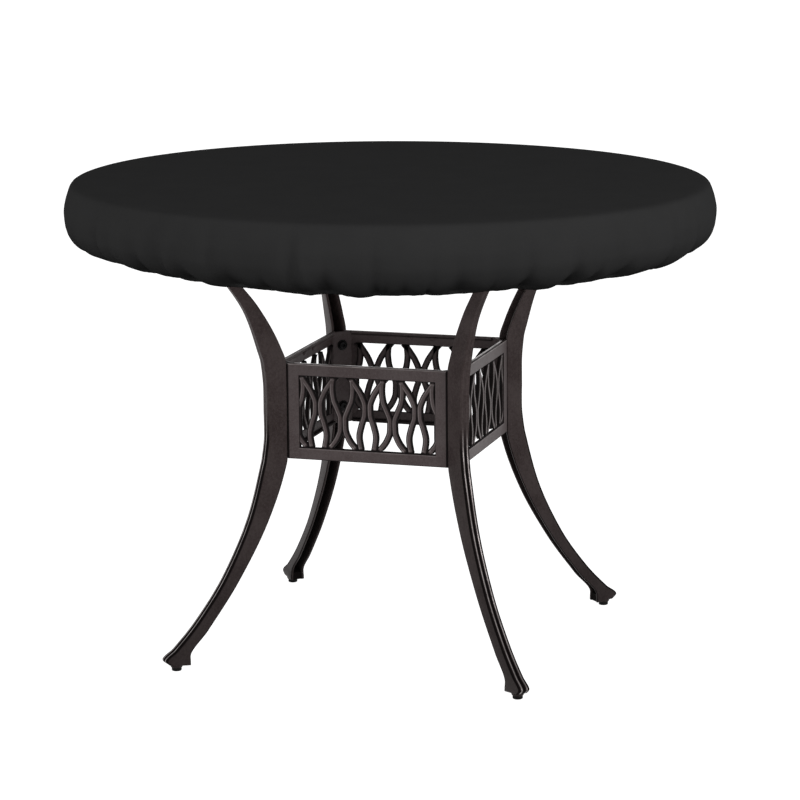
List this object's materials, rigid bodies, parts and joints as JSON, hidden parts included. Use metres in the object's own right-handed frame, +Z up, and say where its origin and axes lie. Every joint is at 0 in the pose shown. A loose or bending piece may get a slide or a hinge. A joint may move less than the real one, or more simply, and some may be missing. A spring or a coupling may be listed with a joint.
{
  "type": "fitted round table cover on patio table",
  "caption": "Round fitted cloth cover with an elasticated hem, pulled over the top of a round cast patio table on curved legs joined by an openwork box.",
  "frame": {"origin": "on the floor under the middle of the table", "axes": "+Z up; -Y is the front panel's side; the legs stand in the diagonal planes"},
  "size_m": [1.0118, 1.0091, 0.735],
  "materials": {
    "cover_cloth": "matte black coated woven polyester",
    "cast_frame": "satin dark bronze paint on cast aluminium",
    "bolt_steel": "black oxide",
    "glide_plastic": "matte black"
  },
  "bodies": {
    "root": {"cover": "cover_cloth", "table_top": "cast_frame", "leg_front_left": "cast_frame", "leg_front_right": "cast_frame", "leg_back_right": "cast_frame", "leg_back_left": "cast_frame", "panel_front": "cast_frame", "panel_right": "cast_frame", "panel_back": "cast_frame", "panel_left": "cast_frame", "corner_plate_front_left": "cast_frame", "corner_plate_front_right": "cast_frame", "corner_plate_back_right": "cast_frame", "corner_plate_back_left": "cast_frame", "bolt_front_left_upper": "bolt_steel", "bolt_front_left_lower": "bolt_steel", "bolt_front_right_upper": "bolt_steel", "bolt_front_right_lower": "bolt_steel", "bolt_back_right_upper": "bolt_steel", "bolt_back_right_lower": "bolt_steel", "bolt_back_left_upper": "bolt_steel", "bolt_back_left_lower": "bolt_steel", "glide_front_left": "glide_plastic", "glide_front_right": "glide_plastic", "glide_back_right": "glide_plastic", "glide_back_left": "glide_plastic"}
  },
  "joints": []
}
